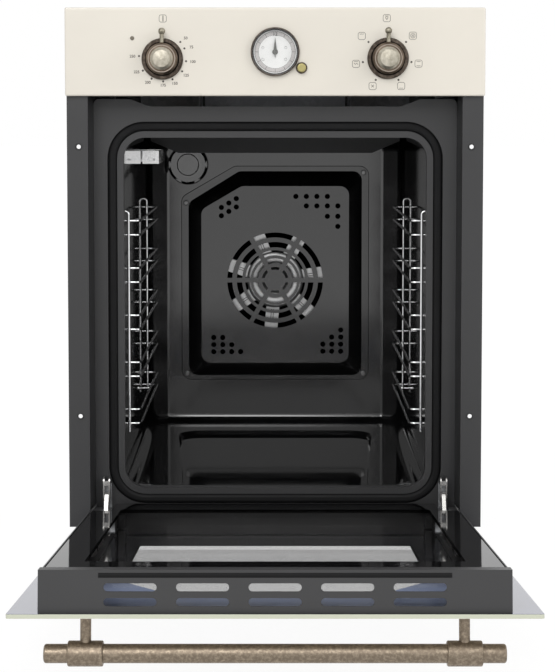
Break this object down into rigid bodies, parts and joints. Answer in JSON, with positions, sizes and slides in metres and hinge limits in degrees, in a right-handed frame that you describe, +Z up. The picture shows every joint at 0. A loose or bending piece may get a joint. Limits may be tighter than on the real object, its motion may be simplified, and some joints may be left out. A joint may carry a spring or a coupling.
{
  "type": "built-in oven",
  "caption": "Narrow built-in electric oven with a retro control panel, a drop-down door shown open, an enamelled cavity, a fan cover and wire side racks.",
  "frame": {"origin": "centre of the base's underside", "axes": "+Z up, +Y towards the back, +X to the right when seen from the front"},
  "size_m": [0.448, 0.9801, 0.595],
  "materials": {
    "ivory_enamel": "smooth ivory enamel",
    "black_enamel": "glossy dark grey enamel",
    "galvanised_steel": "bare galvanised sheet",
    "bright_wire": "polished chromed wire",
    "bare_steel": "bare bright steel",
    "fan_steel": "bright pressed sheet",
    "gasket_rubber": "matt black silicone",
    "black_frame": "satin black paint",
    "tinted_glass": "dark mirrored inner pane",
    "clear_glass": "clear glass",
    "ivory_glass": "glass with an ivory printed border",
    "aged_bronze": "dark aged bronze",
    "pewter": "aged pewter dome",
    "bright_brass": "brass",
    "element_steel": "dull oxidised steel tube",
    "dial_white": "matt cream",
    "hand_black": "black",
    "black_plastic": "moulded black",
    "lamp_ceramic": "white steatite",
    "amber_lens": "amber lens",
    "mineral_wool": "yellow-brown wool"
  },
  "bodies": {
    "oven": {"air_duct": "galvanised_steel", "base_tray": "galvanised_steel", "blower_housing": "galvanised_steel", "blower_motor": "bare_steel", "bottom_element": "element_steel", "button_collar": "aged_bronze", "cabinet_flanges": "black_enamel", "cable_gland": "black_plastic", "cavity": "black_enamel", "ceiling_baffle": "black_enamel", "clock_bezel": "aged_bronze", "clock_case": "black_plastic", "clock_dial": "dial_white", "clock_glass": "clear_glass", "control_carrier": "galvanised_steel", "control_panel": "ivory_enamel", "control_roses": "aged_bronze", "door_gasket": "gasket_rubber", "fan_cover": "black_enamel", "fan_cover_screws": "bare_steel", "fan_motor": "bare_steel", "front_frame": "black_enamel", "grill_element": "element_steel", "hinge_arms": "bare_steel", "hinge_housings": "galvanised_steel", "insulation": "mineral_wool", "lamp_bulb": "clear_glass", "lamp_glass": "clear_glass", "lamp_socket": "lamp_ceramic", "pilot_lamp": "amber_lens", "rack_studs": "bright_wire", "rear_casing": "galvanised_steel", "selector_switch": "black_plastic", "sensor_bracket": "bare_steel", "side_casings": "galvanised_steel", "side_racks": "bright_wire", "thermostat_switch": "black_plastic", "top_casing": "galvanised_steel"},
    "door": {"door_outer_glass": "ivory_glass", "door_inner_glass": "tinted_glass", "door_middle_glass": "clear_glass", "glass_spacers": "gasket_rubber", "door_frame": "black_frame", "door_end_cap": "black_frame", "handle_bar": "aged_bronze", "handle_posts": "aged_bronze", "handle_collars": "aged_bronze", "handle_screws": "bare_steel", "hinge_channels": "bare_steel"},
    "thermostat_knob": {"thermostat_knob": "pewter", "thermostat_shaft": "bare_steel"},
    "selector_knob": {"selector_knob": "pewter", "selector_shaft": "bare_steel"},
    "minute_hand": {"minute_hand": "hand_black"},
    "hour_hand": {"hour_hand": "hand_black"},
    "clock_button": {"clock_button": "bright_brass"},
    "fan_wheel": {"fan_wheel": "fan_steel"},
    "blower_wheel": {"blower_wheel": "fan_steel"},
    "hinge_lock_left": {"hinge_lock_left": "bare_steel"},
    "hinge_lock_right": {"hinge_lock_right": "bare_steel"}
  },
  "joints": [
    {"name": "door_hinge", "type": "hinge", "parent": "oven", "child": "door", "pos_m": [0, -0.25, 0.038], "axis": [-1, 0, 0], "range_deg": [0, 84]},
    {"name": "thermostat_turn", "type": "hinge", "parent": "oven", "child": "thermostat_knob", "pos_m": [-0.12, -0.265, 0.5404], "axis": [0, 1, 0], "range_deg": [0, 274]},
    {"name": "selector_turn", "type": "hinge", "parent": "oven", "child": "selector_knob", "pos_m": [0.12, -0.265, 0.541], "axis": [0, 1, 0], "continuous": true},
    {"name": "minute_hand_turn", "type": "hinge", "parent": "oven", "child": "minute_hand", "pos_m": [0, -0.265, 0.548], "axis": [0, 1, 0], "continuous": true},
    {"name": "hour_hand_turn", "type": "hinge", "parent": "oven", "child": "hour_hand", "pos_m": [0, -0.265, 0.548], "axis": [0, 1, 0], "continuous": true},
    {"name": "clock_button_press", "type": "slide", "parent": "oven", "child": "clock_button", "axis": [0, 1, 0], "range_m": [0, 0.003], "stiffness_N_per_m": 200},
    {"name": "fan_spin", "type": "hinge", "parent": "oven", "child": "fan_wheel", "pos_m": [0, -0.265, 0.262], "axis": [0, -1, 0], "continuous": true},
    {"name": "blower_spin", "type": "hinge", "parent": "oven", "child": "blower_wheel", "pos_m": [0, 0.035, 0.54], "axis": [1, 0, 0], "continuous": true},
    {"name": "hinge_lock_left_flip", "type": "hinge", "parent": "oven", "child": "hinge_lock_left", "pos_m": [-0.185, -0.238, 0.0616], "axis": [-1, 0, 0], "range_deg": [-95, 0]},
    {"name": "hinge_lock_right_flip", "type": "hinge", "parent": "oven", "child": "hinge_lock_right", "pos_m": [0.185, -0.238, 0.0616], "axis": [-1, 0, 0], "range_deg": [-95, 0]}
  ],
  "couplings": [
    {"joint": "hour_hand_turn", "follows": "minute_hand_turn", "ratio": 0.083333}
  ]
}
